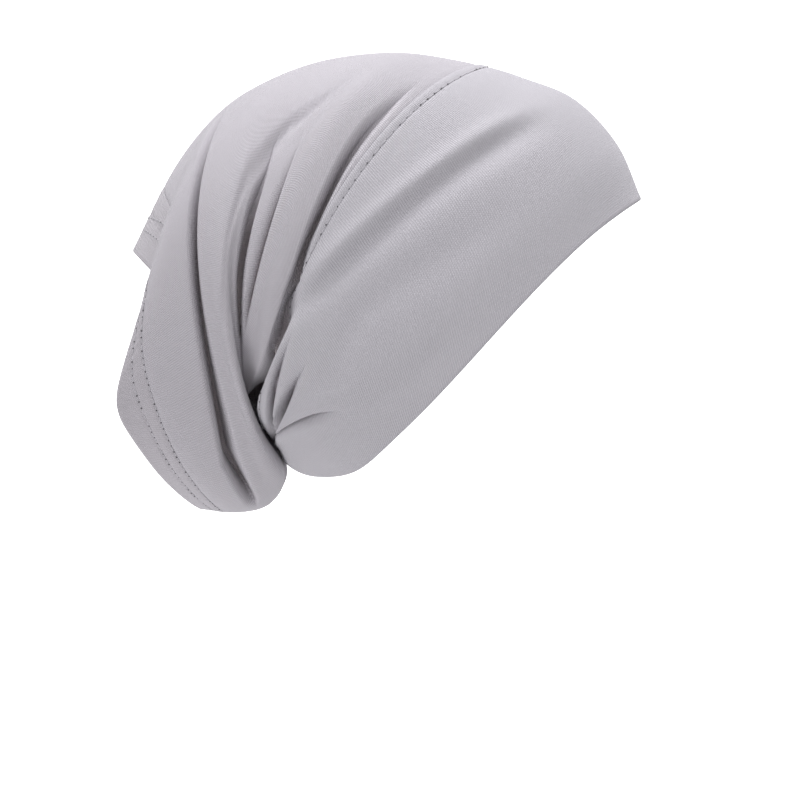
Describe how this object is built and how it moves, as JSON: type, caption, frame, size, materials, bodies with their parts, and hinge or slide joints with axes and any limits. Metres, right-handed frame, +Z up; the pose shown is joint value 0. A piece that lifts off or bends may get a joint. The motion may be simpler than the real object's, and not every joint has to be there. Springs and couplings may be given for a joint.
{
  "type": "hijab underscarf cap",
  "caption": "Slouchy tube underscarf cap in thin jersey: doubled face band, topstitched seam, gathered nape and an open turned hem hanging in loose folds behind.",
  "frame": {"origin": "inside of the crown, on the middle line, where the cap sits on the head", "axes": "+Z up, -Y toward the face, +X toward the wearer's left"},
  "size_m": [0.1486, 0.237, 0.2111],
  "materials": {
    "band_jersey": "matt fine knit, light lilac grey",
    "seam_jersey": "matt fine knit, light lilac grey, topstitched",
    "tube_jersey": "matt fine knit, light lilac grey",
    "hem_jersey": "matt fine knit, light lilac grey, double stitched"
  },
  "bodies": {
    "root": {"face_band": "band_jersey", "seam_strip": "seam_jersey", "back_tube": "tube_jersey", "back_hem": "hem_jersey"}
  },
  "joints": []
}
